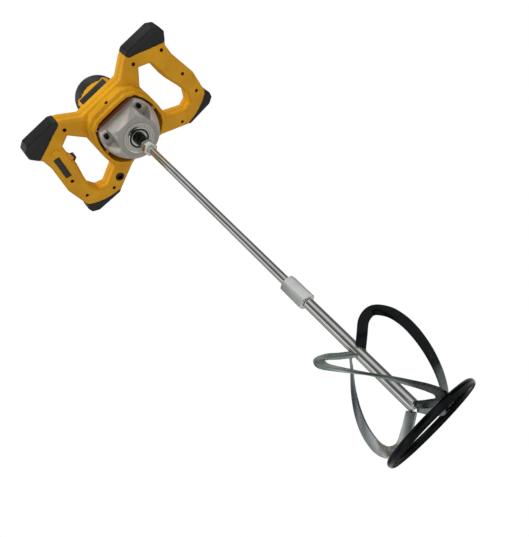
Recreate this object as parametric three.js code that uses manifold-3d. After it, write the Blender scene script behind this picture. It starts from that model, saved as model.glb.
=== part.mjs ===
// Handheld mortar mixer: two-handle electric power head with a two-section rod and a ring paddle.
// Millimetres. +Z runs up the spindle axis from the paddle to the motor, the ground plane is z = 0,
// X runs from handle to handle and the label side of the motor faces -Y.
import * as THREE from 'three';
import { mergeVertices } from 'three/addons/utils/BufferGeometryUtils.js';
import Module from 'manifold-3d';

const wasm = await Module();
wasm.setup();

// ---- driving dimensions ----
const GAP = 0.3;            // clearance between pieces that rest on each other
const Z_SPLIT = 700;        // parting plane of the handle housing
const Z_FRONT = 684;        // paddle-side face of the handle frame
const Z_REAR = 716;         // motor-side face of the handle frame
const WALL = 3;             // housing wall
const EDGE = 4;             // chamfer along the handle frame edges
const Z_RIM = 660;          // rim of the collar round the gearbox

const R_ROD_UP = 6;
const R_ROD_LOW = 7;
const Z_COUPLER = [190, 229];
const Z_NUT = [579, 594];
const R_SPINDLE = 10;
const Z_BEARING = [619, 633];

const R_RING = 56;          // centre line of the paddle ring
const R_RING_BAR = 4;
const BLADE_WIDTH = 12;
const BLADE_THICK = 3;
const BLADE_AZIMUTHS = [-23, 103, 220];   // hand-welded, so not quite a third of a turn apart
const BLADE_PITCH = 38;     // degrees that the strip leans along its helix
const Z_ROD_END = 24;       // lower end of the rod, where the lower arms meet it

const GEAR_MODULE = 1.25;
const PINION_TEETH = 8;
const WHEEL_TEETH = 32;
const LAY_Y = 25;           // distance from the spindle axis to the intermediate shaft

const R_MOTOR = 44;
const Z_MOTOR = [667.6, 758];
const Z_CAP_END = 797;
const Z_BOSS_TOP = 743;     // upper end of the flat label boss on the barrel
const Z_LABEL = [719, 733];

// ---- colours ----
const paint = {
  yellow: { color: 0xd9a028, roughness: 0.5, metalness: 0 },
  rubber: { color: 0x23261f, roughness: 0.8, metalness: 0 },
  black: { color: 0x1e1f1d, roughness: 0.5, metalness: 0 },
  orange: { color: 0xd87a1c, roughness: 0.5, metalness: 0 },
  casting: { color: 0x9a958f, roughness: 0.55, metalness: 0.7 },
  zinc: { color: 0xc2c2ba, roughness: 0.25, metalness: 1 },
  steel: { color: 0x8c8f8e, roughness: 0.35, metalness: 1 },
  oxide: { color: 0x242420, roughness: 0.5, metalness: 0.8 },
  chrome: { color: 0x3a3c3d, roughness: 0.15, metalness: 1 },
  copper: { color: 0xb0643a, roughness: 0.4, metalness: 0.9 },
  brass: { color: 0xb8923c, roughness: 0.35, metalness: 0.9 },
};

const mixer = new THREE.Group();
mixer.name = 'mortar_mixer';

// ---- solid helpers ----
function solid(geometry) {
  const g = geometry.clone();
  g.deleteAttribute('normal');
  g.deleteAttribute('uv');
  const m = mergeVertices(g, 1e-4);
  const mesh = new wasm.Mesh({
    numProp: 3,
    vertProperties: new Float32Array(m.attributes.position.array),
    triVerts: new Uint32Array(m.index.array),
  });
  return new wasm.Manifold(mesh);
}

function geometryOf(body) {
  const mesh = body.getMesh();
  const g = new THREE.BufferGeometry();
  g.setAttribute('position', new THREE.BufferAttribute(new Float32Array(mesh.vertProperties), 3));
  g.setIndex(new THREE.BufferAttribute(new Uint32Array(mesh.triVerts), 1));
  return g;
}

function add(name, body, finish) {
  const flat = geometryOf(body).toNonIndexed();
  flat.computeVertexNormals();
  const mesh = new THREE.Mesh(flat, new THREE.MeshStandardMaterial(paint[finish]));
  mesh.name = name;
  mixer.add(mesh);
  return body;
}

// right cylinder along Z
function rod(radius, z0, z1, x = 0, y = 0, sides = 20) {
  const g = new THREE.CylinderGeometry(radius, radius, z1 - z0, sides);
  g.rotateX(Math.PI / 2);
  g.translate(x, y, (z0 + z1) / 2);
  return solid(g);
}

function hexagon(flats, z0, z1, chamfer) {
  const corner = flats / Math.sqrt(3);
  const g = new THREE.CylinderGeometry(corner, corner, z1 - z0, 6);
  g.rotateX(Math.PI / 2);
  g.rotateZ(Math.PI / 6 + Math.PI / 9);
  g.translate(0, 0, (z0 + z1) / 2);
  const trim = turned([
    [0, z0], [flats / 2 - 0.5, z0], [corner + 0.4, z0 + chamfer],
    [corner + 0.4, z1 - chamfer], [flats / 2 - 0.5, z1], [0, z1],
  ], 24);
  return solid(g).intersect(trim);
}

function box(x0, x1, y0, y1, z0, z1) {
  const g = new THREE.BoxGeometry(x1 - x0, y1 - y0, z1 - z0);
  g.translate((x0 + x1) / 2, (y0 + y1) / 2, (z0 + z1) / 2);
  return solid(g);
}

// solid of revolution about Z from [radius, z] points
function turned(points, sides = 32, x = 0, y = 0) {
  const closed = points[0][0] > 0 ? [...points, points[0]] : points;
  const g = new THREE.LatheGeometry(closed.map((p) => new THREE.Vector2(p[0], p[1])), sides);
  g.rotateX(Math.PI / 2);
  g.translate(x, y, 0);
  const body = solid(g);
  return body.volume() < 0 ? solid(flipped(g)) : body;
}

function flipped(geometry) {
  const g = geometry.clone();
  const index = g.index.array;
  for (let i = 0; i < index.length; i += 3) {
    const keep = index[i];
    index[i] = index[i + 1];
    index[i + 1] = keep;
  }
  return g;
}

function shapeOf(points, holes = []) {
  const shape = new THREE.Shape(points.map((p) => new THREE.Vector2(p[0], p[1])));
  for (const hole of holes) {
    shape.holes.push(new THREE.Path(hole.map((p) => new THREE.Vector2(p[0], p[1]))));
  }
  return shape;
}

// loop moved outward by a distance, corners kept sharp
function grown(points, distance) {
  const area = THREE.ShapeUtils.area(points.map(([x, y]) => ({ x, y })));
  const side = area > 0 ? distance : -distance;
  const last = points.length;
  return points.map(([x, y], i) => {
    const [px, py] = points[(i + last - 1) % last];
    const [nx, ny] = points[(i + 1) % last];
    const before = new THREE.Vector2(y - py, px - x).normalize();
    const after = new THREE.Vector2(ny - y, x - nx).normalize();
    const corner = before.clone().add(after).normalize();
    const reach = side / corner.dot(before);
    return [x + corner.x * reach, y + corner.y * reach];
  });
}

// prism along Z; grow moves every wall outward, edge chamfers both ends
function prism(points, z0, z1, { holes = [], edge = 0, grow = 0, steps = 1 } = {}) {
  const outline = edge > 0 ? points : grown(points, grow);
  const g = new THREE.ExtrudeGeometry(shapeOf(outline, holes), {
    depth: z1 - z0 - 2 * edge,
    bevelEnabled: edge > 0,
    bevelThickness: edge,
    bevelSize: edge,
    bevelOffset: grow - edge,
    bevelSegments: steps,
  });
  g.translate(0, 0, z0 + edge);
  return solid(g);
}

const mirrored = (points) => points.map(([x, y]) => [-x, y]).reverse();
const bothSides = (right) => [...right, ...mirrored(right).slice(1, -1)];

// ---- handle frame outline, right half from the label side round to the far side ----
const frameRight = [
  [0, -54], [44, -54], [70, -74], [83, -81.5], [138, -81.5], [149, -75], [152, -64], [141, -45],
  [142, -25], [156, 29], [155, 79], [161, 88], [160, 98], [149, 106], [97, 109], [40, 81], [0, 72],
];
const handRight = [
  [63, -22], [82, -49], [101, -41], [105, -24], [108, 0], [118, 28],
  [125, 53], [118, 72], [103, 78], [67, 59], [66, 13],
];
const frameLoop = bothSides(frameRight);
const handHoles = [handRight, mirrored(handRight)];

// opening of the collar that takes the gearbox
const collarRight = [
  [0, -44], [30, -43], [45, -36], [53, -20], [58, 0], [58, 27], [52, 40], [40, 52], [0, 57],
];
const collarLoop = bothSides(collarRight);

// corner regions covered by the bumpers, right side
const bigCorner = [
  [72, -100], [170, -100], [170, -51], [143, -51.5], [114, -61.5], [96, -68.5], [86, -71.5], [79, -74], [75, -79],
];
const smallCorner = [
  [180, 73], [157, 75], [149, 80], [139, 87.5], [125, 94.5], [111, 99], [93, 102], [91, 130], [180, 130],
];

const frameFull = prism(frameLoop, Z_FRONT, Z_REAR, { holes: handHoles, edge: EDGE });
const frameCore = prism(frameLoop, Z_FRONT + 4, Z_REAR - 4, { holes: handHoles, edge: EDGE, grow: -4 });
const frameCavity = prism(frameLoop, Z_FRONT + WALL, Z_REAR - WALL, {
  holes: handHoles, edge: EDGE - 1, grow: -WALL,
});

function region(points, grow) {
  return prism(points, Z_FRONT - 5, Z_REAR + 5, { grow });
}

const corners = [
  { name: 'bumper_right_large', points: bigCorner },
  { name: 'bumper_right_small', points: smallCorner },
  { name: 'bumper_left_large', points: mirrored(bigCorner) },
  { name: 'bumper_left_small', points: mirrored(smallCorner) },
];

// the housing continues under each bumper as a smaller tongue
let frame = frameFull;
let cavity = frameCavity;
const tongueSocket = prism(frameLoop, Z_FRONT + 4 - GAP, Z_REAR - 4 + GAP, {
  holes: handHoles, edge: EDGE, grow: GAP - 4,
});
for (const corner of corners) {
  const area = region(corner.points, 0);
  frame = frame.subtract(area).add(frameCore.intersect(region(corner.points, 1)));
  cavity = cavity.subtract(region(corner.points, WALL + 1));
  const bumper = frameFull.intersect(region(corner.points, -GAP)).subtract(tongueSocket);
  add(corner.name, bumper, 'rubber');
}

// ---- housing screws: [x, y] on the paddle-side face ----
const housingScrews = [
  [78, -61], [-78, -61], [130, -45], [137, 15], [-137, 17],
  [141, 61], [-141, 60], [84, 90], [-98, 90],
];

// ---- trigger and lock button in the left grip ----
const TRIGGER_PIVOT = [-114.5, 14];
const triggerLoop = [
  [-117.5, 17], [-113.5, 14], [-111, 4], [-107, -1], [-100.5, -4], [-99.2, -9.5], [-104, -12.5], [-112, -20.5],
  [-116, -10], [-118, 5],
];
const triggerSlot = box(-121, -96, -27, 20, 693.6, 706.4);
const buttonSlot = box(-120.2, -96, -26, -12, 685.4, 691.9);

// speed plate recess on the left grip: a slanted rectangle along the grip
const PLATE_CENTRE = [-129, -14.5];
const PLATE_TILT = 14.5;
function slanted(width, length, z0, z1, cx, cy) {
  const g = new THREE.BoxGeometry(width, length, z1 - z0);
  g.rotateZ(THREE.MathUtils.degToRad(PLATE_TILT));
  g.translate(cx, cy, (z0 + z1) / 2);
  return solid(g);
}

// cable inlet in the left lower arm
const INLET = [-75, 81];
const R_INLET = 8.2;

// ---- housing, paddle-side half ----
let front = frame.intersect(box(-200, 200, -200, 200, 600, Z_SPLIT - GAP / 2)).subtract(cavity);
for (const [x, y] of housingScrews) {
  front = front.add(rod(5.2, Z_FRONT + 2, Z_SPLIT - GAP / 2, x, y, 8));
}
front = front.add(prism(collarLoop, Z_RIM, 670, { grow: 5, edge: 1.5 }));
front = front.add(prism(collarLoop, 668, 692, { grow: 9, edge: 3 }));
front = front.add(slanted(12, 13, 680, Z_FRONT + 3, -117, -43));
front = front.add(rod(R_INLET + 3, Z_FRONT + 1, 696, INLET[0], INLET[1], 20));
front = front.subtract(prism(collarLoop, Z_RIM - 5, Z_SPLIT + 5));
for (const hole of handHoles) {
  front = front.subtract(prism(hole, Z_RIM - 5, Z_SPLIT + 5));
}
for (const [x, y] of housingScrews) {
  front = front.subtract(rod(3.2, Z_FRONT - 5, 691, x, y, 10));
  front = front.subtract(rod(2.1, 680, 710, x, y, 6));
}
front = front.subtract(rod(R_INLET + GAP, Z_FRONT - 5, 691, INLET[0], INLET[1], 20));
front = front.subtract(rod(R_INLET - 2, 680, 702, INLET[0], INLET[1], 20));
front = front.subtract(slanted(10.8, 42.4, 680, Z_FRONT + 1.5, PLATE_CENTRE[0], PLATE_CENTRE[1]));
front = front.subtract(triggerSlot).subtract(buttonSlot);
const collarHole = new THREE.CylinderGeometry(3.2, 3.2, 6, 12);
collarHole.translate(2, -53, 674);
const collarBore = new THREE.CylinderGeometry(2.1, 2.1, 16, 12);
collarBore.translate(2, -48, 674);
front = front.subtract(solid(collarHole)).subtract(solid(collarBore));
add('housing_front', front, 'yellow');

// ---- housing, motor-side half ----
let rear = frame.intersect(box(-200, 200, -200, 200, Z_SPLIT + GAP / 2, 800)).subtract(cavity);
for (const [x, y] of housingScrews) {
  rear = rear.add(rod(5.2, Z_SPLIT + GAP / 2, Z_REAR - 2, x, y, 8));
}
for (const hole of handHoles) {
  rear = rear.subtract(prism(hole, Z_SPLIT - 5, Z_REAR + 5));
}
for (const [x, y] of housingScrews) {
  rear = rear.subtract(rod(2.1, 690, 712, x, y, 6));
}
rear = rear.subtract(rod(R_MOTOR + 0.5, 690, 730, 0, 0, 40)).subtract(triggerSlot);
add('housing_rear', rear, 'yellow');

housingScrews.forEach(([x, y], i) => {
  const head = rod(2.8, 688, 690.7, x, y, 10);
  const shank = rod(1.7, 690, 711, x, y, 6);
  const socket = rod(1.3, 686, 689.5, x, y, 4);
  add(`housing_screw_${i + 1}`, head.add(shank).subtract(socket), 'oxide');
});
const collarHead = new THREE.CylinderGeometry(2.8, 2.8, 2.2, 12);
collarHead.translate(2, -51.5, 674);
const collarShank = new THREE.CylinderGeometry(1.7, 1.7, 8, 12);
collarShank.translate(2, -47, 674);
add('collar_screw', solid(collarHead).add(solid(collarShank)), 'oxide');

// ---- trigger, lock button, switch, speed plate, cable inlet ----
add('trigger', prism(triggerLoop, 694, 706, { edge: 1 }), 'black');
add('lock_button', box(-116, -103, -25.5, -12.5, 685.8, 691.4), 'orange');
add('switch_body', box(-136, -125, -22, 6, 692, 708), 'black');
add('switch_plate', slanted(10, 41.6, Z_FRONT - 0.6, Z_FRONT + 1.2, PLATE_CENTRE[0], PLATE_CENTRE[1]), 'black');
add('cable_inlet', turned([
  [4.5, Z_FRONT - 0.4], [R_INLET - 1, Z_FRONT - 0.8], [R_INLET, Z_FRONT], [R_INLET, 690.6], [4.5, 690.6],
], 20, INLET[0], INLET[1]), 'rubber');

// ---- motor ----
const gearboxScrews = [[37, -26], [-37, -26], [35, 33], [-35, 33]];
let barrel = turned([
  [40, Z_MOTOR[0]], [50, Z_MOTOR[0]], [50, 674], [R_MOTOR, 675.5], [R_MOTOR, Z_MOTOR[1]], [40, Z_MOTOR[1]],
], 32);
barrel = barrel.intersect(box(-60, 60, -42.6, 60, 600, 712).add(box(-60, 60, -60, 60, 711, 800)));
for (const [x, y] of gearboxScrews) {
  barrel = barrel.subtract(rod(2.8, 660, 680, x, y, 8));
}
// flat boss on the label side, with a shallow recess for the label
const bossLoop = [[-34, -20], [-34, -41], [-29, -47], [29, -47], [34, -41], [34, -20]];
const boss = prism(bossLoop, Z_REAR + GAP, Z_BOSS_TOP).subtract(rod(R_MOTOR - 4, 700, 760, 0, 0, 32));
barrel = barrel.add(boss).subtract(box(-27.3, 27.3, -50, -45.7, Z_LABEL[0] - GAP, Z_LABEL[1] + GAP));
add('motor_housing', barrel, 'yellow');

let cap = turned([
  [0, Z_CAP_END], [30, Z_CAP_END], [38, Z_CAP_END - 3], [42.5, Z_CAP_END - 11], [43.5, Z_MOTOR[1] + 4],
  [43.5, Z_MOTOR[1] + GAP], [40, Z_MOTOR[1] + GAP], [39, Z_CAP_END - 12], [34, Z_CAP_END - 6],
  [12, Z_CAP_END - 4], [12, Z_CAP_END - 23], [8.3, Z_CAP_END - 23], [8.3, Z_CAP_END - 4], [0, Z_CAP_END - 4],
], 24);
for (let i = 0; i < 5; i += 1) {
  const slot = new THREE.BoxGeometry(3, 12, 12);
  slot.translate(0, -41, Z_CAP_END - 19);
  slot.rotateZ(THREE.MathUtils.degToRad((i - 2) * 18 + 90));
  cap = cap.subtract(solid(slot));
  slot.rotateZ(Math.PI);
  cap = cap.subtract(solid(slot));
}
add('motor_cap', cap, 'black');

add('label_panel', box(-27, 27, -47.2, -46, Z_LABEL[0], Z_LABEL[1]), 'black');

const statorRing = turned([[32, 690], [39, 690], [39, 728], [32, 728]], 32);
function sector(r0, r1, from, to, z0, z1, parts = 6) {
  const loop = [];
  for (let i = 0; i <= parts; i += 1) {
    const a = THREE.MathUtils.degToRad(from + ((to - from) * i) / parts);
    loop.push([r1 * Math.cos(a), r1 * Math.sin(a)]);
  }
  for (let i = parts; i >= 0; i -= 1) {
    const a = THREE.MathUtils.degToRad(from + ((to - from) * i) / parts);
    loop.push([r0 * Math.cos(a), r0 * Math.sin(a)]);
  }
  return prism(loop, z0, z1);
}
const stator = statorRing.add(sector(21, 33, 40, 140, 690, 728)).add(sector(21, 33, 220, 320, 690, 728));
add('stator', stator, 'steel');
add('field_coil_left', sector(22, 31, 145, 215, 688, 733), 'copper');
add('field_coil_right', sector(22, 31, -35, 35, 688, 733), 'copper');
add('brush_holder_left', box(-38, -13, -4.5, 4.5, 741, 750), 'brass');
add('brush_holder_right', box(13, 38, -4.5, 4.5, 741, 750), 'brass');

// ---- gears ----
// spur gear blank with straight-sided teeth, centred on the Z axis
function gear(teeth, z0, z1, turn) {
  const pitch = (GEAR_MODULE * teeth) / 2;
  const tip = pitch + 0.8 * GEAR_MODULE;
  const root = pitch - 1.15 * GEAR_MODULE;
  const step = (2 * Math.PI) / teeth;
  const loop = [];
  for (let i = 0; i < teeth; i += 1) {
    const a = i * step + turn;
    const half = [[root, 0.3], [tip, 0.11], [tip, -0.11], [root, -0.3]];
    for (const [r, f] of half) {
      loop.push([r * Math.cos(a - f * step), r * Math.sin(a - f * step)]);
    }
  }
  return prism(loop, z0, z1);
}

const QUARTER = Math.PI / 2;
// the spindle and motor gears point a tooth at the intermediate shaft, whose gears turn a gap to it
const wheelTurn = QUARTER;
const layTurn = -QUARTER;
const outputGear = gear(WHEEL_TEETH, 637.5, 647.5, wheelTurn).subtract(rod(8.3, 630, 650));
const layPinion = gear(PINION_TEETH, 637.8, 650.5, layTurn + Math.PI / PINION_TEETH).translate([0, LAY_Y, 0]);
const layShaft = rod(3.3, 634.4, 666.5, 0, LAY_Y, 16).add(layPinion);
const layWheel = gear(WHEEL_TEETH, 652, 660, layTurn + Math.PI / WHEEL_TEETH)
  .subtract(rod(3.6, 640, 670, 0, 0, 16)).translate([0, LAY_Y, 0]);
const motorPinion = gear(PINION_TEETH, 651, 660.8, QUARTER);
add('output_gear', outputGear, 'steel');
add('intermediate_shaft', layShaft, 'steel');
add('intermediate_wheel', layWheel, 'steel');

// ---- armature ----
add('armature_shaft', rod(3.2, 650.8, 782, 0, 0, 16).add(motorPinion), 'steel');
add('armature_core', rod(19.5, 690, 728, 0, 0, 24).subtract(rod(3.5, 680, 740, 0, 0, 16)), 'steel');
add('commutator', rod(12, 738, 752, 0, 0, 24).subtract(rod(3.5, 730, 760, 0, 0, 16)), 'copper');
let fan = rod(10, 677, 684.5, 0, 0, 16).add(rod(34, 677, 678.5, 0, 0, 24));
for (let i = 0; i < 8; i += 1) {
  const vane = new THREE.BoxGeometry(25, 1.6, 7);
  vane.translate(21, 0, 681);
  vane.rotateZ((i * Math.PI) / 4);
  fan = fan.add(solid(vane));
}
add('fan', fan.subtract(rod(3.5, 670, 690, 0, 0, 16)), 'black');
add('armature_bearing_front', turned([[3.5, 662], [11, 662], [11, 669], [3.5, 669]], 20), 'zinc');
add('armature_bearing_rear', turned([[3.5, 774], [8, 774], [8, 780], [3.5, 780]], 20), 'zinc');

// ---- gearbox case and cover ----
const FLAT_Y = -35;
// the nose runs out to the flat side as a block, narrower at its front face, between two open screw pads
const noseSection = new THREE.Shape([[-19, 622.4], [19, 622.4], [25, 661], [-25, 661]].map((p) => new THREE.Vector2(...p)));
const noseGeometry = new THREE.ExtrudeGeometry(noseSection, { depth: 17, bevelEnabled: false });
noseGeometry.rotateX(Math.PI / 2);
const noseBlock = solid(noseGeometry.translate(0, FLAT_Y + 17, 0));
const Z_PAD = 649;
const padRight = [[27, -60], [60, -60], [60, -12], [46, -14], [34, -8], [28, -28]];
const padWall = [[24, -60], [60, -60], [60, -8], [46, -10.5], [32, -4], [25, -28]];
const caseOuter = turned([
  [0, 619], [27, 619], [27.6, 621.8], [36, 622.6], [41, 626], [46, 634], [50.5, 645], [53, 655], [53, 661], [0, 661],
], 36).intersect(box(-60, 60, FLAT_Y, 60, 600, 680)).add(noseBlock);
let caseCavity = turned([
  [0, 635.5], [36, 635.5], [43, 641], [49, 655], [49, 665], [0, 665],
], 24).intersect(box(-60, 60, FLAT_Y + 4, 60, 600, 680));
for (const loop of [padWall, mirrored(padWall)]) {
  caseCavity = caseCavity.subtract(prism(loop, 600, 680));
}
for (const [x, y] of gearboxScrews.slice(2)) {
  caseCavity = caseCavity.subtract(rod(8, 600, 680, x, y, 12));
}
caseCavity = caseCavity.subtract(rod(7, 630, 637.2, 0, LAY_Y, 16));
let gearCase = caseOuter.subtract(caseCavity);
gearCase = gearCase.subtract(rod(23.8, 610, Z_BEARING[1] + GAP, 0, 0, 32));
gearCase = gearCase.subtract(rod(17, 610, 640, 0, 0, 24));
gearCase = gearCase.subtract(rod(3.6, 634.1, 640, 0, LAY_Y, 16));
for (const loop of [padRight, mirrored(padRight)]) {
  gearCase = gearCase.subtract(prism(loop, 600, Z_PAD));
}
gearboxScrews.forEach(([x, y]) => {
  gearCase = gearCase.subtract(rod(5.4, 610, Z_PAD, x, y, 14)).subtract(rod(2.8, 640, 670, x, y, 8));
});
add('gearbox_case', gearCase, 'casting');

let cover = rod(52.5, 661 + GAP, 667.3, 0, 0, 32).add(rod(14.5, 661 + GAP, 669.5, 0, 0, 24));
cover = cover.intersect(box(-60, 60, FLAT_Y - 4, 60, 600, 680)).subtract(rod(11.3, 650, 680, 0, 0, 20));
cover = cover.subtract(rod(3.6, 650, 680, 0, LAY_Y, 16));
for (const [x, y] of gearboxScrews) {
  cover = cover.subtract(rod(2.8, 650, 680, x, y, 8));
}
add('gearbox_cover', cover, 'casting');

gearboxScrews.forEach(([x, y], i) => {
  const screw = rod(4.3, 644.5, 648.7, x, y, 14).add(rod(2.4, 648, 673, x, y, 8));
  add(`gearbox_screw_${i + 1}`, screw.subtract(rod(2.2, 640, 647, x, y, 6)), 'oxide');
});

// ---- output bearing ----
add('bearing_outer_ring', turned([[20, Z_BEARING[0]], [23.5, Z_BEARING[0]], [23.5, Z_BEARING[1]], [20, Z_BEARING[1]]], 32), 'zinc');
add('bearing_seal', turned([[14.8, 620.2], [19.7, 620.2], [19.7, 621.4], [14.8, 621.4]], 24), 'black');
add('bearing_inner_ring', turned([[10.3, 619.2], [14.3, 619.2], [14.3, 632.8], [10.3, 632.8]], 24), 'zinc');

// ---- spindle, nut, rods, coupler ----
const spindle = turned([
  [0, 612], [7, 612], [7, Z_NUT[1] + GAP], [9.2, Z_NUT[1] + GAP], [R_SPINDLE, 595.5], [R_SPINDLE, 636], [8, 636],
  [8, 649], [0, 649],
], 24);
add('spindle', spindle, 'oxide');
add('rod_nut', hexagon(21, Z_NUT[0], Z_NUT[1], 2).subtract(rod(R_ROD_UP + GAP, 570, 600)), 'zinc');
add('rod_upper', turned([
  [0, 210], [R_ROD_UP, 210], [R_ROD_UP, Z_NUT[1] + 1], [6.7, Z_NUT[1] + 1], [6.7, 609], [5.7, 610], [0, 610],
], 24), 'zinc');
add('rod_coupler', hexagon(21, Z_COUPLER[0], Z_COUPLER[1], 2.5).subtract(rod(R_ROD_UP + GAP, 180, 240)), 'zinc');
const Z_STUD = Z_COUPLER[0] - GAP;
const lowerRod = turned([
  [0, Z_ROD_END], [R_ROD_LOW - 1, Z_ROD_END], [R_ROD_LOW, Z_ROD_END + 1], [R_ROD_LOW, Z_STUD],
  [R_ROD_UP, Z_STUD], [R_ROD_UP, 208], [0, 208],
], 24);
add('rod_lower', lowerRod, 'zinc');

// ---- ring and blades ----
const ringProfile = [];
const ringHalf = R_RING_BAR;
for (let i = 0; i < 8; i += 1) {
  const a = ((i + 0.5) * Math.PI) / 4;
  ringProfile.push([R_RING + R_RING_BAR * Math.cos(a), ringHalf + ringHalf * Math.sin(a) / Math.sin(Math.PI * 0.375)]);
}
const ring = turned(ringProfile, 40);
add('ring', ring, 'chrome');

// blade centre line: [radius, height, lag in degrees behind its root]
const bladeLine = [
  [4, 105, -9], [20, 113.5, -10], [34, 121, -8], [46, 121, -2], [54.5, 110.5, 7], [58.5, 95, 20], [60, 73, 36],
  [60, 52, 50], [58.5, 35, 61], [55.5, 21.5, 71], [49.5, 12.5, 79], [38.5, 9, 82], [22, 15.5, 84], [6, 24.3, 85],
];
const bladeCurve = new THREE.CatmullRomCurve3(
  bladeLine.map((p) => new THREE.Vector3(p[0], p[1], p[2])), false, 'centripetal');

// flat strip swept along the centre line, its face leaning along the helix by the pitch
function blade(azimuth) {
  const steps = 40;
  const pitch = THREE.MathUtils.degToRad(BLADE_PITCH);
  const g = new THREE.BoxGeometry(1, BLADE_WIDTH, BLADE_THICK, steps, 1, 1);
  const place = g.attributes.position;
  for (let i = 0; i < place.count; i += 1) {
    const t = place.getX(i) + 0.5;
    const here = bladeCurve.getPoint(t);
    const ahead = bladeCurve.getTangent(t);
    const length = Math.hypot(ahead.x, ahead.y);
    const outward = (-ahead.y / length) * place.getY(i);
    const upward = (ahead.x / length) * place.getY(i);
    const through = place.getZ(i);
    const angle = THREE.MathUtils.degToRad(azimuth + here.z);
    const radius = here.x + outward;
    const aside = through * Math.cos(pitch) - upward * Math.sin(pitch);
    const height = here.y + upward * Math.cos(pitch) + through * Math.sin(pitch);
    place.setXYZ(
      i,
      radius * Math.cos(angle) - aside * Math.sin(angle),
      radius * Math.sin(angle) + aside * Math.cos(angle),
      height,
    );
  }
  const body = solid(g);
  return body.volume() < 0 ? solid(flipped(g)) : body;
}
const ringRoom = turned(ringProfile.map(([r, z]) => [r + (r > R_RING ? GAP : -GAP), z + (z > R_RING_BAR ? GAP : -GAP)]), 40);
const rodRoom = rod(R_ROD_LOW + GAP, Z_ROD_END - GAP, 140);
BLADE_AZIMUTHS.forEach((azimuth, i) => {
  add(`blade_${i + 1}`, blade(azimuth).subtract(ringRoom).subtract(rodRoom), 'steel');
});

export default mixer;
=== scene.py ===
# Looks of the handheld mortar mixer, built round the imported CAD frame.
# Helpers take millimetres; every object ends up in metres, in the frame of the CAD.
import math
import random

import bmesh
import bpy
import numpy as np
from mathutils import Matrix, Vector


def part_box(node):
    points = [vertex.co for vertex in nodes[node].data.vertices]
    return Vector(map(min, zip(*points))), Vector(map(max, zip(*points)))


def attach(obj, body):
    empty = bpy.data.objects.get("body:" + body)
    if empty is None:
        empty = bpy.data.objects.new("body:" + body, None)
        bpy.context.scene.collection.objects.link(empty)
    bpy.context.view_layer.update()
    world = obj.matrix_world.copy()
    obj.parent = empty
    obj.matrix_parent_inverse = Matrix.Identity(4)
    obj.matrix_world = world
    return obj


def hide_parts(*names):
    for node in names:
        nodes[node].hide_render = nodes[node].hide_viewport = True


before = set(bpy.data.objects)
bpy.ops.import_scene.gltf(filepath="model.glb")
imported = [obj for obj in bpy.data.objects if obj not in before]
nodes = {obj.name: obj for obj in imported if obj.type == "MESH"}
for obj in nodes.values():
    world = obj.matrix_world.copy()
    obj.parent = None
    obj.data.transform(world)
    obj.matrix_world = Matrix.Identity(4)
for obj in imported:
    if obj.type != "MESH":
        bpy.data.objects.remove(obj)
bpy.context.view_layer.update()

MM = 0.001
rng = random.Random(7)
scene = bpy.context.scene


# ---------------------------------------------------------------- camera
UP = math.radians(31.0)          # the camera looks up along the rod by this much
ROLL = math.radians(45.7)
TURN = math.radians(-2.0)        # camera moved round the rod's axis
EYE = Vector((0, -0.503, -0.036))
SENSOR_MM = 36.0
FOCAL_PX = 458.0
LONG_SIDE_PX = 537.0
CENTRE_SHIFT_PX = 4.1

forward = Vector((0, math.cos(UP), math.sin(UP)))
flat_right = Vector((1, 0, 0))
flat_up = flat_right.cross(forward)
right = flat_right * math.cos(ROLL) - flat_up * math.sin(ROLL)
above = flat_right * math.sin(ROLL) + flat_up * math.cos(ROLL)
camera_data = bpy.data.cameras.new("camera")
camera_data.sensor_width = SENSOR_MM
camera_data.lens = SENSOR_MM * FOCAL_PX / LONG_SIDE_PX
camera_data.shift_x = -CENTRE_SHIFT_PX / LONG_SIDE_PX
camera_data.shift_y = -CENTRE_SHIFT_PX / LONG_SIDE_PX
camera_data.clip_start = 0.01
camera_data.clip_end = 50
camera = bpy.data.objects.new("camera", camera_data)
scene.collection.objects.link(camera)
place = Matrix((right, above, -forward)).transposed().to_4x4()
place.translation = EYE
camera.matrix_world = Matrix.Rotation(TURN, 4, "Z") @ place
scene.camera = camera


# ---------------------------------------------------------------- node helpers
class Nodes:
    """A node tree with short calls for the nodes that the finishes and the world share."""

    def __init__(self, tree):
        self.tree = tree

    def new(self, kind):
        return self.tree.nodes.new("ShaderNode" + kind)

    def link(self, output, socket):
        self.tree.links.new(output, socket)

    def feed(self, socket, value):
        """Puts a number, a colour or the output of another node into a socket."""
        if isinstance(value, (int, float)):
            socket.default_value = value
        elif isinstance(value, tuple):
            socket.default_value = (*value, 1)
        else:
            self.link(value, socket)

    def parts_of(self, vector):
        n = self.new("SeparateXYZ")
        self.link(vector, n.inputs["Vector"])
        return n.outputs

    def ramp(self, fac, stops):
        n = self.new("ValToRGB")
        while len(n.color_ramp.elements) < len(stops):
            n.color_ramp.elements.new(0.5)
        for element, (position, colour) in zip(n.color_ramp.elements, stops):
            element.position = position
            element.color = (*colour, 1)
        self.link(fac, n.inputs["Fac"])
        return n.outputs["Color"]

    def spread(self, fac, low, high, start=0.3, end=0.7):
        """Maps start..end to low..high."""
        n = self.new("MapRange")
        n.inputs["From Min"].default_value = start
        n.inputs["From Max"].default_value = end
        n.inputs["To Min"].default_value = low
        n.inputs["To Max"].default_value = high
        self.link(fac, n.inputs["Value"])
        return n.outputs["Result"]

    def math(self, operation, a, b):
        n = self.new("Math")
        n.operation = operation
        for socket, value in zip(n.inputs, (a, b)):
            self.feed(socket, value)
        return n.outputs["Value"]

    def either(self, fac, first, second):
        """The first shader where fac is 0, the second where it is 1."""
        n = self.new("MixShader")
        for socket, value in zip(n.inputs, (fac, first, second)):
            self.link(value, socket)
        return n.outputs["Shader"]


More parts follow.
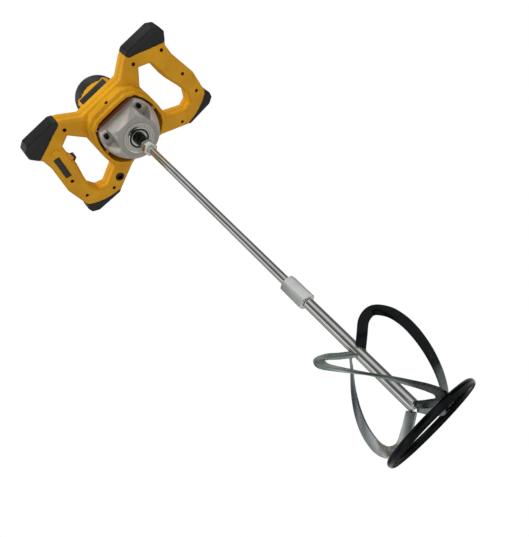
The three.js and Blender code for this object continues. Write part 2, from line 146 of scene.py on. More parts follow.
class Finish(Nodes):
    """A material on the Principled shader, in the coordinates of its object."""

    def __init__(self, name):
        self.material = bpy.data.materials.new(name)
        self.material.use_nodes = True
        super().__init__(self.material.node_tree)
        self.shader = self.tree.nodes["Principled BSDF"]
        self.where = self.new("TexCoord").outputs["Object"]
        self.normal = None

    def mapped(self, scale, turn=(0, 0, 0)):
        n = self.new("Mapping")
        n.inputs["Scale"].default_value = scale
        n.inputs["Rotation"].default_value = turn
        self.link(self.where, n.inputs["Vector"])
        return n.outputs["Vector"]

    def noise(self, scale, detail=3.0, rough=0.5, at=None):
        n = self.new("TexNoise")
        n.inputs["Scale"].default_value = scale
        n.inputs["Detail"].default_value = detail
        n.inputs["Roughness"].default_value = rough
        self.link(at or self.where, n.inputs["Vector"])
        return n.outputs["Fac"]

    def cells(self, scale):
        n = self.new("TexVoronoi")
        n.inputs["Scale"].default_value = scale
        self.link(self.where, n.inputs["Vector"])
        return n.outputs["Distance"]

    def mix(self, fac, a, b):
        """Colour between a and b."""
        n = self.new("Mix")
        n.data_type = "RGBA"
        for socket, value in ((n.inputs["Factor"], fac), (n.inputs["A"], a), (n.inputs["B"], b)):
            self.feed(socket, value)
        return n.outputs[2]

    def bump(self, height, depth_mm, strength=1.0):
        """Adds a height to the bumps that the finish has so far."""
        n = self.new("Bump")
        n.inputs["Strength"].default_value = strength
        n.inputs["Distance"].default_value = depth_mm * MM
        self.link(height, n.inputs["Height"])
        if self.normal is not None:
            self.link(self.normal, n.inputs["Normal"])
        self.normal = n.outputs["Normal"]

    def pointy(self):
        return self.new("NewGeometry").outputs["Pointiness"]

    def done(self, colour, roughness, metallic=0.0, specular=0.5):
        sockets = self.shader.inputs
        self.feed(sockets["Base Color"], colour)
        self.feed(sockets["Roughness"], roughness)
        sockets["Metallic"].default_value = metallic
        sockets["Specular IOR Level"].default_value = specular
        if self.normal is not None:
            self.link(self.normal, sockets["Normal"])
        return self.material


def srgb(r, g, b):
    """Linear colour of an 8-bit display colour."""
    return tuple(
        c / 255 / 12.92 if c / 255 <= 0.04045 else ((c / 255 + 0.055) / 1.055) ** 2.4 for c in (r, g, b)
    )


# ---------------------------------------------------------------- finishes
# Colours are 8-bit display colours; grain, pit and streak depths are in mm.
def moulded(name, deep, main, light, rough=(0.36, 0.5), specular=0.5):
    """Injection-moulded plastic: slow colour drift, spark-eroded grain, handling marks in the gloss."""
    n = Finish(name)
    colour = n.ramp(n.noise(22, 4), [(0.3, srgb(*deep)), (0.5, srgb(*main)), (0.72, srgb(*light))])
    speck = n.spread(n.noise(900, 2), 0.0, 0.12, 0.45, 0.75)
    colour = n.mix(speck, colour, srgb(*deep))
    marks = n.noise(60, 6, 0.65, n.mapped((1, 1, 0.35), (0, 0.5, 0.3)))
    roughness = n.spread(marks, *rough)
    n.bump(n.cells(1500), 0.05)
    n.bump(n.noise(14, 2), 0.25, 0.5)
    return n.done(colour, roughness, specular=specular)


def rubber_finish(name, dark, light):
    """Moulded rubber: fine grain, and dust that lightens it in patches."""
    n = Finish(name)
    colour = n.ramp(n.noise(30, 5), [(0.3, srgb(*dark)), (0.7, srgb(*light))])
    dust = n.spread(n.noise(240, 5, 0.7), 0.0, 0.22, 0.52, 0.75)
    colour = n.mix(dust, colour, tuple(c * 2.1 for c in srgb(*light)))
    roughness = n.spread(n.noise(45, 4), 0.36, 0.5)
    n.bump(n.cells(2300), 0.03)
    n.bump(n.noise(420, 3), 0.03)
    return n.done(colour, roughness, specular=0.4)


def metal(name, dark, main, rough, streak, streak_depth, drift=18, pits=0.0, stain=None):
    """Bare or plated metal: drawn or turned streaks, cloudy plating, small pits."""
    n = Finish(name)
    cloud = n.noise(drift, 5, 0.6)
    colour = n.ramp(cloud, [(0.32, srgb(*dark)), (0.68, srgb(*main))])
    lines = n.noise(1, 4, 0.6, n.mapped(streak))
    colour = n.mix(n.spread(lines, 0.0, 0.35), colour, srgb(*dark))
    if stain:
        colour = n.mix(n.spread(n.noise(9, 6, 0.6), 0.0, 0.8, 0.52, 0.78), colour, srgb(*stain))
    smear = n.math("ADD", n.spread(lines, -0.04, 0.05), n.spread(cloud, *rough))
    n.bump(lines, streak_depth)
    if pits:
        n.bump(n.spread(n.cells(700), 0, 1, 0.0, 0.35), pits)
    return n.done(colour, smear, 1.0)


def casting_finish():
    """Die-cast alloy left as cast and sprayed: sandy grain, and sharp edges painted near white, a painted
    highlight with a little rubbing wear.
    """
    n = Finish("cast_alloy_finish")
    tones = [(0.3, srgb(150, 144, 137)), (0.55, srgb(166, 160, 153)), (0.8, srgb(178, 173, 166))]
    colour = n.ramp(n.noise(30, 6, 0.6), tones)
    grit = n.noise(1300, 3, 0.7)
    colour = n.mix(n.spread(grit, 0.0, 0.3, 0.5, 0.8), colour, srgb(118, 112, 105))
    # painted highlight: sharp edges are mixed towards near white, partly rubbing wear
    edge = n.spread(n.pointy(), 0.0, 0.9, 0.515, 0.56)
    colour = n.mix(edge, colour, srgb(226, 224, 218))
    n.bump(grit, 0.08)
    n.bump(n.noise(240, 4), 0.08)
    roughness = n.spread(n.noise(90, 4), 0.36, 0.5)
    return n.done(colour, roughness, 0.35)


YELLOW = moulded("yellow_plastic_finish", (202, 140, 6), (214, 152, 8), (224, 162, 14),
                 rough=(0.46, 0.6), specular=0.3)
RUBBER = rubber_finish("bumper_rubber_finish", (8, 10, 8), (16, 18, 15))
BLACK = moulded("black_plastic_finish", (19, 22, 19), (28, 31, 27), (36, 38, 34), rough=(0.4, 0.55))
# painted shade: the lock button is yellow plastic, coloured the darker orange that it shows in shade
YELLOW_IN_PAINTED_SHADE = moulded("lock_button_painted_shade_finish", (206, 122, 20), (222, 140, 26), (232, 152, 36))
# painted shade: yellow plastic walls that lie in shade, coloured dark red-brown
WALL_IN_PAINTED_SHADE = moulded("shaded_wall_finish", (96, 40, 8), (118, 52, 10), (140, 66, 14), rough=(0.5, 0.65))
CAST = casting_finish()
# painted shade: screw heads down in their holes, coloured dark brown
SCREW_IN_PAINTED_SHADE = metal("screw_painted_shade_finish", (48, 20, 10), (86, 38, 18), rough=(0.4, 0.55),
                    streak=(300, 300, 300), streak_depth=0.006)
BEARING = metal("bearing_steel_finish", (170, 168, 160), (214, 212, 204), rough=(0.16, 0.26),
                streak=(300, 300, 2600), streak_depth=0.006)
MACHINED = metal("machined_steel_finish", (120, 122, 122), (168, 170, 170), rough=(0.24, 0.38),
                 streak=(900, 900, 60), streak_depth=0.01)
OXIDE = metal("black_oxide_finish", (26, 28, 24), (52, 53, 47), rough=(0.3, 0.44),
              streak=(700, 700, 60), streak_depth=0.008, drift=40)
ZINC = metal("zinc_plated_finish", (196, 198, 196), (224, 226, 222), rough=(0.07, 0.12),
             streak=(260, 260, 6), streak_depth=0.0003, drift=26, stain=(176, 180, 174))
CHROME = metal("dark_chrome_finish", (18, 19, 20), (48, 50, 52), rough=(0.05, 0.1),
               streak=(60, 60, 60), streak_depth=0.0006, drift=30)
COPPER = metal("copper_winding_finish", (130, 64, 34), (196, 112, 66), rough=(0.25, 0.4),
               streak=(40, 40, 2400), streak_depth=0.12)
BRASS = metal("brass_part_finish", (150, 116, 50), (206, 170, 88), rough=(0.25, 0.4),
              streak=(300, 300, 300), streak_depth=0.01)
WELD = metal("weld_finish", (70, 70, 66), (150, 148, 140), rough=(0.25, 0.45),
             streak=(300, 300, 300), streak_depth=0.05, drift=60, pits=0.05)

# finish of each record slot; the blade_steel pieces bring their own
FINISH = {
    "yellow_plastic": YELLOW, "bumper_rubber": RUBBER, "black_plastic": BLACK, "orange_plastic": YELLOW_IN_PAINTED_SHADE,
    "cast_alloy": CAST, "bearing_steel": BEARING, "machined_steel": MACHINED, "black_steel": OXIDE,
    "zinc_plated": ZINC, "dark_chrome": CHROME, "copper_winding": COPPER, "brass_part": BRASS,
}


# ---------------------------------------------------------------- mesh helpers
def new_object(name, mesh):
    piece = bpy.data.objects.new(name, mesh)
    scene.collection.objects.link(piece)
    return piece


def from_bmesh(name, bm):
    bmesh.ops.recalc_face_normals(bm, faces=bm.faces)
    mesh = bpy.data.meshes.new(name)
    bm.to_mesh(mesh)
    bm.free()
    return new_object(name, mesh)


ON_AXIS = 1e-6       # a radius in mm below this is a point on the axis


def add_modifier(piece, kind, **settings):
    m = piece.modifiers.new(kind.lower(), kind)
    for key, value in settings.items():
        setattr(m, key, value)
    return m


def bake_modifiers(piece):
    """Turns a piece's modifiers into its mesh."""
    graph = bpy.context.evaluated_depsgraph_get()
    mesh = bpy.data.meshes.new_from_object(piece.evaluated_get(graph))
    old = piece.data
    piece.modifiers.clear()
    piece.data = mesh
    bpy.data.meshes.remove(old)
    return piece


def shade(piece, angle=None):
    """Smooth shading, with edges over the angle in degrees left sharp."""
    piece.data.shade_smooth()
    if angle is not None:
        bpy.context.view_layer.update()
        piece.data.set_sharp_from_angle(angle=math.radians(angle))
    return piece


def boolean(piece, operation, tool):
    """Boolean of a piece and a tool, which is then removed."""
    add_modifier(piece, "BOOLEAN", operation=operation, object=tool, solver="EXACT")
    bake_modifiers(piece)
    bpy.data.objects.remove(tool)


def soften(piece, voxel, rounds, most=180000):
    """Voxel remesh and smoothing: every edge gets a moulded radius. Keeps about `most` triangles."""
    add_modifier(piece, "REMESH", mode="VOXEL", voxel_size=voxel * MM, adaptivity=0)
    add_modifier(piece, "SMOOTH", factor=0.5, iterations=rounds)
    bake_modifiers(piece)
    triangles = len(piece.data.polygons) * 2
    if triangles > most:
        add_modifier(piece, "DECIMATE", ratio=most / triangles)
        bake_modifiers(piece)
    return shade(piece)


def copy_of(name, node):
    """A new object holding the mesh of a CAD node."""
    bm = bmesh.new()
    bm.from_mesh(nodes[node].data)
    bmesh.ops.remove_doubles(bm, verts=bm.verts, dist=1e-6)
    mesh = bpy.data.meshes.new(name)
    bm.to_mesh(mesh)
    bm.free()
    return new_object(name, mesh)


def fillet(points, radius, steps=4, closed=False):
    """Polyline in mm with rounded corners. The radius is one number, or a list with one for each point."""
    out = []
    last = len(points)
    for i, p in enumerate(points):
        if not closed and i in (0, last - 1):
            out.append(p)
            continue
        a = Vector(points[i - 1])
        b = Vector(p)
        c = Vector(points[(i + 1) % last])
        r = radius[i] if isinstance(radius, (list, tuple)) else radius
        reach = min(r, (a - b).length * 0.45, (c - b).length * 0.45)
        start = b + (a - b).normalized() * reach
        end = b + (c - b).normalized() * reach
        for k in range(steps + 1):
            t = k / steps
            out.append(tuple(start * (1 - t) ** 2 + b * 2 * t * (1 - t) + end * t * t))
    return out


def lathe(name, profile, sides=96, x=0.0, y=0.0):
    """Solid of revolution about Z from [radius, height] points in mm.

    A profile that starts off the axis is closed into a ring.
    """
    bm = bmesh.new()
    rings = []
    turn = [2 * math.pi * k / sides for k in range(sides)]
    for r, z in profile:
        if abs(r) < ON_AXIS:
            rings.append([bm.verts.new((0, 0, z))])
        else:
            rings.append([bm.verts.new((r * math.cos(a), r * math.sin(a), z)) for a in turn])
    if abs(profile[0][0]) > ON_AXIS:
        rings.append(rings[0])
    for one, two in zip(rings, rings[1:]):
        for k in range(sides):
            j = (k + 1) % sides
            loop = [one[k % len(one)], one[j % len(one)], two[j % len(two)], two[k % len(two)]]
            loop = list(dict.fromkeys(loop))
            if len(loop) > 2:
                bm.faces.new(loop)
    bmesh.ops.translate(bm, vec=(x, y, 0), verts=bm.verts)
    bmesh.ops.scale(bm, vec=(MM, MM, MM), verts=bm.verts)
    return from_bmesh(name, bm)


def prism(name, outline, z0, z1):
    """Straight prism along Z from an outline in mm."""
    bm = bmesh.new()
    low = [bm.verts.new((x * MM, y * MM, z0 * MM)) for x, y in outline]
    high = [bm.verts.new((x * MM, y * MM, z1 * MM)) for x, y in outline]
    bm.faces.new(low)
    bm.faces.new(high)
    for i in range(len(low)):
        j = (i + 1) % len(low)
        bm.faces.new((low[i], low[j], high[j], high[i]))
    return from_bmesh(name, bm)


def skin(name, bm, rings):
    """Closes rings of points into a solid with two end faces."""
    count = len(rings[0])
    for one, two in zip(rings, rings[1:]):
        for k in range(count):
            j = (k + 1) % count
            bm.faces.new((one[k], one[j], two[j], two[k]))
    bm.faces.new(rings[0])
    bm.faces.new(rings[-1])
    return from_bmesh(name, bm)


def tube(name, path, radii, sides):
    """Round bar along points in mm, with a radius for each point."""
    points = [Vector(p) for p in path]
    count = len(points)
    bm = bmesh.new()
    rings = []
    across = None
    for i, (p, r) in enumerate(zip(points, radii)):
        along = (points[min(i + 1, count - 1)] - points[max(i - 1, 0)]).normalized()
        if across is None:
            across = along.orthogonal().normalized()
        across = (across - along * across.dot(along)).normalized()
        side = along.cross(across)
        rings.append([
            bm.verts.new((p + (across * math.cos(a) + side * math.sin(a)) * r) * MM)
            for a in (2 * math.pi * k / sides for k in range(sides))
        ])
    return skin(name, bm, rings)


def dress(piece, body, slot, *stands_for, finish=None):
    """Gives a piece its finish and its body, and hides the CAD nodes that it stands for."""
    piece.data.materials.clear()
    piece.data.materials.append(finish or FINISH[slot])
    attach(piece, body)
    if stands_for:
        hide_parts(*stands_for)
    return piece


# ---------------------------------------------------------------- finer helpers
def node_box(name):
    """Lowest and highest corners of a CAD node, in mm."""
    low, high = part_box(name)
    return Vector(low) / MM, Vector(high) / MM


def middle(name):
    low, high = node_box(name)
    return (low + high) / 2


def vectors(items, key):
    """One vector of every mesh element, as an array."""
    values = np.empty(len(items) * 3)
    items.foreach_get(key, values)
    return values.reshape(-1, 3)


def vertex_arrays(piece):
    """Places in mm and normals of a piece's points."""
    points = piece.data.vertices
    return vectors(points, "co") / MM, vectors(points, "normal")


def set_places(piece, places):
    piece.data.vertices.foreach_set("co", (places * MM).ravel())
    piece.data.update()


def rounded(piece, width, segments=2, angle=35):
    """Bevels every edge sharper than the angle in degrees, by a width in mm."""
    add_modifier(piece, "BEVEL", width=width * MM, segments=segments, limit_method="ANGLE",
                 angle_limit=math.radians(angle))
    bake_modifiers(piece)
    return shade(piece, 40)


def arc_plate(name, r0, r1, z0, z1, facing, half_angle, parts):
    """Piece of a cylinder wall, centred on a direction in degrees."""
    turn = [math.radians(facing - half_angle + 2 * half_angle * k / parts) for k in range(parts + 1)]
    outer = [(r1 * math.cos(a), r1 * math.sin(a)) for a in turn]
    inner = [(r0 * math.cos(a), r0 * math.sin(a)) for a in reversed(turn)]
    return prism(name, outer + inner, z0, z1)


def bead(name, path, radius):
    """Lumpy weld bead along points in mm, thinner at its ends."""
    count = len(path)
    ends = [0.35 + 0.65 * min(1, 4 * min(k, count - 1 - k) / count) for k in range(count)]
    radii = [radius * e * rng.uniform(0.82, 1.15) for e in ends]
    piece = tube(name, path, radii, 10)
    add_modifier(piece, "SUBSURF", levels=1)
    return shade(bake_modifiers(piece))


def second_finish(piece, finish, chosen):
    """Paints the faces that chosen(centres in mm, normals) picks with a second finish."""
    piece.data.materials.append(finish)
    faces = piece.data.polygons
    picked = chosen(vectors(faces, "center") / MM, vectors(faces, "normal"))
    faces.foreach_set("material_index", picked.astype(np.int32))
    piece.data.update()


# ---------------------------------------------------------------- handle housing
front = soften(copy_of("handle_shell_front", "housing_front"), 0.8, 3)
dress(front, "head", "yellow_plastic", "housing_front")
housing_screws = [f"housing_screw_{i}" for i in range(1, 10)]
screw_places = [middle(screw) for screw in housing_screws]
SCREW_HOLE = 3.6        # radius
Z_FACE = 684.0          # front face of the handle housing
Z_COLLAR = 661.5        # the collar wall that is painted starts above this
R_COLLAR = 62.0
INWARD = -0.45          # outward part of a normal, for a wall that looks at the axis


def shaded_walls(centres, normals):
    """Inner wall of the collar, and the walls of the screw holes: the faces that get painted shade."""
    from_axis = np.linalg.norm(centres[:, :2], axis=1)
    radial = centres[:, :2] / np.maximum(from_axis, ON_AXIS)[:, None]
    inward = (radial * normals[:, :2]).sum(1) < INWARD
    collar = inward & (from_axis < R_COLLAR) & (centres[:, 2] > Z_COLLAR)
    holes = np.zeros(len(centres), bool)
    for place in screw_places:
        near = np.hypot(centres[:, 0] - place.x, centres[:, 1] - place.y) < SCREW_HOLE
        holes |= near & (centres[:, 2] > Z_FACE + 0.5)
    return collar | holes


second_finish(front, WALL_IN_PAINTED_SHADE, shaded_walls)
rear = soften(copy_of("handle_shell_rear", "housing_rear"), 0.9, 4)
dress(rear, "head", "yellow_plastic", "housing_rear")

RIB_PITCH = 2.6
RIB_DEPTH = 0.12
RIB_DIRECTION = (0.55, 0.83)    # across the ribs, from the axis outwards and along Y
PROUD = 0.5                     # the pads stand this far off the housing
for side, hand in (("right", 1), ("left", -1)):
    for size in ("large", "small"):
        node = f"bumper_{side}_{size}"
        pad = soften(copy_of(f"corner_pad_{side}_{size}", node), 0.7, 8)
        places, normals = vertex_arrays(pad)
        slope = RIB_DIRECTION[1] if size == "small" else -RIB_DIRECTION[1]
        along = places[:, 0] * hand * RIB_DIRECTION[0] + places[:, 1] * slope
        ribs = RIB_DEPTH * np.sin(2 * math.pi * along / RIB_PITCH) * (size == "large")
        set_places(pad, places + normals * (PROUD + ribs)[:, None])
        dress(shade(pad), "head", "bumper_rubber", node)

# ---------------------------------------------------------------- controls and cable entry
trigger = soften(copy_of("trigger_lever", "trigger"), 0.3, 4, 40000)
dress(trigger, "trigger", "black_plastic", "trigger")
# the lock button gets the orange of yellow plastic in painted shade
button = rounded(copy_of("lock_slider", "lock_button"), 0.9, 4)
dress(button, "lock_button", "orange_plastic", "lock_button")
plate = rounded(copy_of("switch_cover", "switch_plate"), 0.5, 3)
dress(plate, "head", "black_plastic", "switch_plate")
spot = middle("cable_inlet")
R_GROMMET = 8.0
grommet_profile = fillet([
    (4.5, 690.4), (4.5, 684.0), (5.0, 683.4), (R_GROMMET - 0.8, 683.2), (R_GROMMET, 684.0),
    (R_GROMMET, 686.5), (R_GROMMET - 0.7, 687.0), (R_GROMMET, 687.6), (R_GROMMET, 690.4),
], 0.5)
grommet = lathe("cable_grommet", grommet_profile, 64, spot.x, spot.y)
dress(shade(grommet, 40), "head", "bumper_rubber", "cable_inlet")

# ---------------------------------------------------------------- motor
barrel = rounded(copy_of("motor_barrel", "motor_housing"), 0.9, 3, 24)
dress(barrel, "head", "yellow_plastic", "motor_housing")

z_rim, z_top = (node_box("motor_cap")[k].z for k in (0, 1))
cap_profile = fillet([
    (0, z_top), (30, z_top), (38, z_top - 3), (42.5, z_top - 11), (43.5, z_top - 30), (43.5, z_rim),
    (40.5, z_rim), (39.5, z_top - 14), (34, z_top - 6), (0, z_top - 6),
], [0, 3, 4, 5, 5, 0.6, 0.6, 2, 2, 0], 5)
cap = lathe("motor_end_cap", cap_profile, 128)
SLOTS_A_SIDE = 7
SLOT_PITCH = 13.0       # degrees
SLOT_HALF = 1.3
SLOT_BELOW_TOP = (25, 12)
slot_corners = [(34, -SLOT_HALF), (48, -SLOT_HALF), (48, SLOT_HALF), (34, SLOT_HALF)]
for k in range(SLOTS_A_SIDE):
    for facing in (0.0, 180.0):
        angle = math.radians(facing + (k - SLOTS_A_SIDE // 2) * SLOT_PITCH)
        c, s = math.cos(angle), math.sin(angle)
        outline = [(x * c - y * s, x * s + y * c) for x, y in slot_corners]
        boolean(cap, "DIFFERENCE", prism("tool", outline, *(z_top - down for down in SLOT_BELOW_TOP)))
dress(shade(cap, 35), "head", "black_plastic", "motor_cap")
seam = lathe("cap_seam_band", fillet([
    (43.2, z_rim - 0.2), (44.6, z_rim), (44.6, z_rim + 3), (43.2, z_rim + 3.4)], 0.4), 128)
dress(shade(seam, 40), "head", "black_plastic")

LABEL_RISE = 6.5        # the sticker covers the recess and laps up over the boss
low, high = node_box("label_panel")
label = prism("label_plate", [
    (low.x - 1, low.y - 0.5), (high.x + 1, low.y - 0.5),
    (high.x + 1, high.y - 0.4), (low.x - 1, high.y - 0.4),
], low.z - 1, high.z + LABEL_RISE)
dress(rounded(label, 0.35, 3), "head", "black_plastic", "label_panel")

# ---------------------------------------------------------------- gearbox nose and bearing
case = rounded(copy_of("gearbox_nose", "gearbox_case"), 0.55, 2, 24)
dress(case, "head", "cast_alloy", "gearbox_case")
z_low, z_high = (node_box("bearing_outer_ring")[k].z for k in (0, 1))
outer_race = lathe("bearing_outer_race", fillet([
    (20, z_low), (23.5, z_low), (23.5, z_high), (20, z_high)], 0.5, closed=True), 128)
dress(shade(outer_race, 40), "head", "bearing_steel", "bearing_outer_ring")
inner_race = lathe("bearing_inner_race", fillet([
    (10.3, 619.2), (14.3, 619.2), (14.3, 632.8), (10.3, 632.8)], 0.5, closed=True), 96)
dress(shade(inner_race, 40), "output", "bearing_steel", "bearing_inner_ring")
seal = lathe("bearing_dust_seal", fillet([
    (14.8, 620.3), (16.2, 620.3), (16.5, 620.6), (17.6, 620.6), (17.9, 620.3), (19.7, 620.3),
    (19.7, 621.4), (14.8, 621.4)], 0.15), 96)
dress(shade(seal, 40), "head", "black_plastic", "bearing_seal")
Z_CLIP = (619.4, 620.1)
R_EYE = 1.9             # eyes for the pliers, either side of the gap
circlip = arc_plate("bearing_circlip", 17.6, 19.6, *Z_CLIP, 90.0, 160, 96)
for end in (-73.0, -107.0):
    a = math.radians(end)
    eye_profile = [(0, Z_CLIP[0]), (R_EYE, Z_CLIP[0]), (R_EYE, Z_CLIP[1]), (0, Z_CLIP[1])]
    boolean(circlip, "UNION", lathe("tool", eye_profile, 32, 18 * math.cos(a), 18 * math.sin(a)))
dress(rounded(circlip, 0.12), "head", "zinc_plated")

# ---------------------------------------------------------------- spindle, nut, rods, coupler
spindle_profile = fillet([
    (0, 612), (7, 612), (7, 594.3), (9.2, 594.3), (10, 595.5), (10, 606), (9.6, 606.6), (9.6, 608),
    (10, 608.6), (10, 636), (8, 636), (8, 649), (0, 649)], 0.4)
dress(shade(lathe("drive_spindle", spindle_profile, 96), 40), "output", "black_steel", "spindle")

ACROSS_FLATS = 21.0
HEX_CORNER = 20.0       # direction of one corner in degrees


def hex_piece(name, z0, z1, chamfer, bore):
    """Hexagon with turned chamfers and a bore along Z."""
    r = ACROSS_FLATS / 2 / math.cos(math.pi / 6)
    turn = [math.radians(HEX_CORNER + 60 * k) for k in range(6)]
    piece = prism(name, [(r * math.cos(a), r * math.sin(a)) for a in turn], z0, z1)
    drop = chamfer * 0.75
    boolean(piece, "INTERSECT", lathe("tool", [
        (0, z0), (r - chamfer, z0), (r + 0.1, z0 + drop),
        (r + 0.1, z1 - drop), (r - chamfer, z1), (0, z1)], 96))
    boolean(piece, "DIFFERENCE", lathe("tool", [
        (0, z0 - 1), (bore, z0 - 1), (bore, z1 + 1), (0, z1 + 1)], 64))
    return rounded(piece, 0.35, 3, 25)


HEX_BORE = 6.3          # radius, clear of the rod in it
for name, node, chamfer in (("rod_lock_nut", "rod_nut", 2.0), ("rod_joint_hexagon", "rod_coupler", 2.6)):
    low, high = node_box(node)
    dress(hex_piece(name, low.z, high.z, chamfer, HEX_BORE), "output", "zinc_plated", node)

R_UP, R_LOW = 6.0, 7.0
z_end = node_box("rod_lower")[0].z
z_joint = node_box("rod_coupler")[0].z
upper = lathe("rod_upper_bar", [
    (0, 210), (R_UP, 210), (R_UP, 595), (6.7, 595), (6.7, 609), (5.7, 610), (0, 610)], 72)
dress(shade(upper, 40), "output", "zinc_plated", "rod_upper")
lower = lathe("rod_lower_bar", fillet([
    (0, z_end), (R_LOW, z_end), (R_LOW, z_joint - 0.3), (R_UP, z_joint - 0.3), (R_UP, 208), (0, 208)],
    [0, 1.2, 0.8, 0.3, 0.3, 0], 4), 72)
dress(shade(lower, 40), "output", "zinc_plated", "rod_lower")

# ---------------------------------------------------------------- ring
R_RING, R_BAR = 56.0, 4.0
BAR_SIDES = 24
WELD_FACING = math.radians(-62.0)       # butt weld that closes the ring
WELD_HALF_WIDTH = 0.022                 # radians
WELD_SWELL = 0.32
bar_turn = [2 * math.pi * k / BAR_SIDES for k in range(BAR_SIDES)]
ring = lathe("paddle_ring", [
    (R_RING + R_BAR * math.cos(a), R_BAR + R_BAR * math.sin(a)) for a in bar_turn], 192)
places, normals = vertex_arrays(ring)
facing = np.arctan2(places[:, 1], places[:, 0])
swell = WELD_SWELL * np.exp(-((facing - WELD_FACING) / WELD_HALF_WIDTH) ** 2)
above_ground = places[:, 2] > 0.6       # the underside stays on the ground plane
set_places(ring, places + normals * (swell * above_ground)[:, None])
dress(shade(ring), "output", "dark_chrome", "ring")

# ---------------------------------------------------------------- paddle arms
# centre line of an arm, as in the CAD: [radius, height, lag in degrees behind its root]
ARM_LINE = [
    (4, 105, -9), (20, 113.5, -10), (34, 121, -8), (46, 121, -2), (54.5, 110.5, 7), (58.5, 95, 20),
    (60, 73, 36), (60, 52, 50), (58.5, 35, 61), (55.5, 21.5, 71), (49.5, 12.5, 79), (38.5, 9, 82),
    (22, 15.5, 84), (6, 24.3, 85),
]
ARM_ROOTS = (-23, 103, 220)     # direction of each root in degrees
ARM_PITCH = math.radians(38)
ARM_WIDTH, ARM_THICK, ARM_EDGE = 12.0, 3.0, 0.7
ARM_STEPS = 180


def on_line(t):
    """Point and direction on the centripetal Catmull-Rom curve through ARM_LINE."""
    points = [np.array(p, float) for p in ARM_LINE]
    points = [2 * points[0] - points[1], *points, 2 * points[-1] - points[-2]]
    spans = len(ARM_LINE) - 1
    span = min(int(t * spans), spans - 1)
    w = t * spans - span
    p0, p1, p2, p3 = points[span:span + 4]
    d0, d1, d2 = (np.linalg.norm(b - a) ** 0.5 for a, b in ((p0, p1), (p1, p2), (p2, p3)))
    m1 = ((p1 - p0) / d0 - (p2 - p0) / (d0 + d1) + (p2 - p1) / d1) * d1
    m2 = ((p2 - p1) / d1 - (p3 - p1) / (d1 + d2) + (p3 - p2) / d2) * d1
    c2 = -3 * p1 + 3 * p2 - 2 * m1 - m2
    c3 = 2 * p1 - 2 * p2 + m1 + m2
    return p1 + m1 * w + c2 * w ** 2 + c3 * w ** 3, m1 + 2 * c2 * w + 3 * c3 * w ** 2


def arm_point(root, t, wide, through):
    """Point of an arm at t along it, so far across its width and its thickness."""
    here, ahead = on_line(t)
    length = math.hypot(ahead[0], ahead[1])
    outward = -ahead[1] / length * wide
    upward = ahead[0] / length * wide
    angle = math.radians(root + here[2])
    radius = here[0] + outward
    aside = through * math.cos(ARM_PITCH) - upward * math.sin(ARM_PITCH)
    height = here[1] + upward * math.cos(ARM_PITCH) + through * math.sin(ARM_PITCH)
    return Vector((radius * math.cos(angle) - aside * math.sin(angle),
                   radius * math.sin(angle) + aside * math.cos(angle), height))


def arm(name, root):
    """Flat bar with rounded edges, bent along the helix."""
    w, h = ARM_WIDTH / 2, ARM_THICK / 2
    section = fillet([(w, -h), (w, h), (-w, h), (-w, -h)], ARM_EDGE, 3, closed=True)
    bm = bmesh.new()
    rings = [
        [bm.verts.new(arm_point(root, k / ARM_STEPS, a, b) * MM) for a, b in section]
        for k in range(ARM_STEPS + 1)
    ]
    return shade(skin(name, bm, rings), 50)


def painted_reflection_arm_finish(name, low_tone, high_tone, z_low, z_high):
    """Bright strip steel with painted reflections: its colour runs from one tone to the other with height,
    with a ragged boundary.
    """
    n = Finish(name)
    height = n.spread(n.parts_of(n.where)["Z"], 0.0, 1.0, z_low * MM, z_high * MM)
    patchy = n.math("ADD", height, n.spread(n.noise(26, 5, 0.6), -0.22, 0.22))
    colour = n.ramp(patchy, [(0.15, low_tone), (0.85, high_tone)])
    lines = n.noise(1, 4, 0.6, n.mapped((160, 160, 900)))
    colour = n.mix(n.spread(lines, 0.0, 0.3), colour, tuple(c * 0.55 for c in high_tone))
    roughness = n.math("ADD", n.spread(lines, -0.04, 0.05), n.spread(n.noise(34, 4), 0.14, 0.28))
    n.bump(lines, 0.0008)
    n.bump(n.noise(60, 2), 0.01)
    return n.done(colour, roughness, 1.0)


# tones of the reflections painted on the arms
GREY_TEAL = srgb(150, 164, 162)
GREY_LIGHT = srgb(188, 194, 192)
REFLECTION_BLACK = srgb(34, 37, 38)
arm_painted_reflections = (
    painted_reflection_arm_finish("arm_1_painted_reflection_finish", GREY_TEAL, REFLECTION_BLACK, 12, 44),
    painted_reflection_arm_finish("arm_2_painted_reflection_finish", GREY_LIGHT, srgb(142, 150, 156), 10, 90),
    painted_reflection_arm_finish("arm_3_painted_reflection_finish", REFLECTION_BLACK, srgb(160, 176, 168), 28, 88),
)


def steps_between(first, last, count):
    return [first + (last - first) * i / (count - 1) for i in range(count)]


def weld(name, path, radius):
    dress(bead(name, path, radius), "output", "blade_steel", finish=WELD)


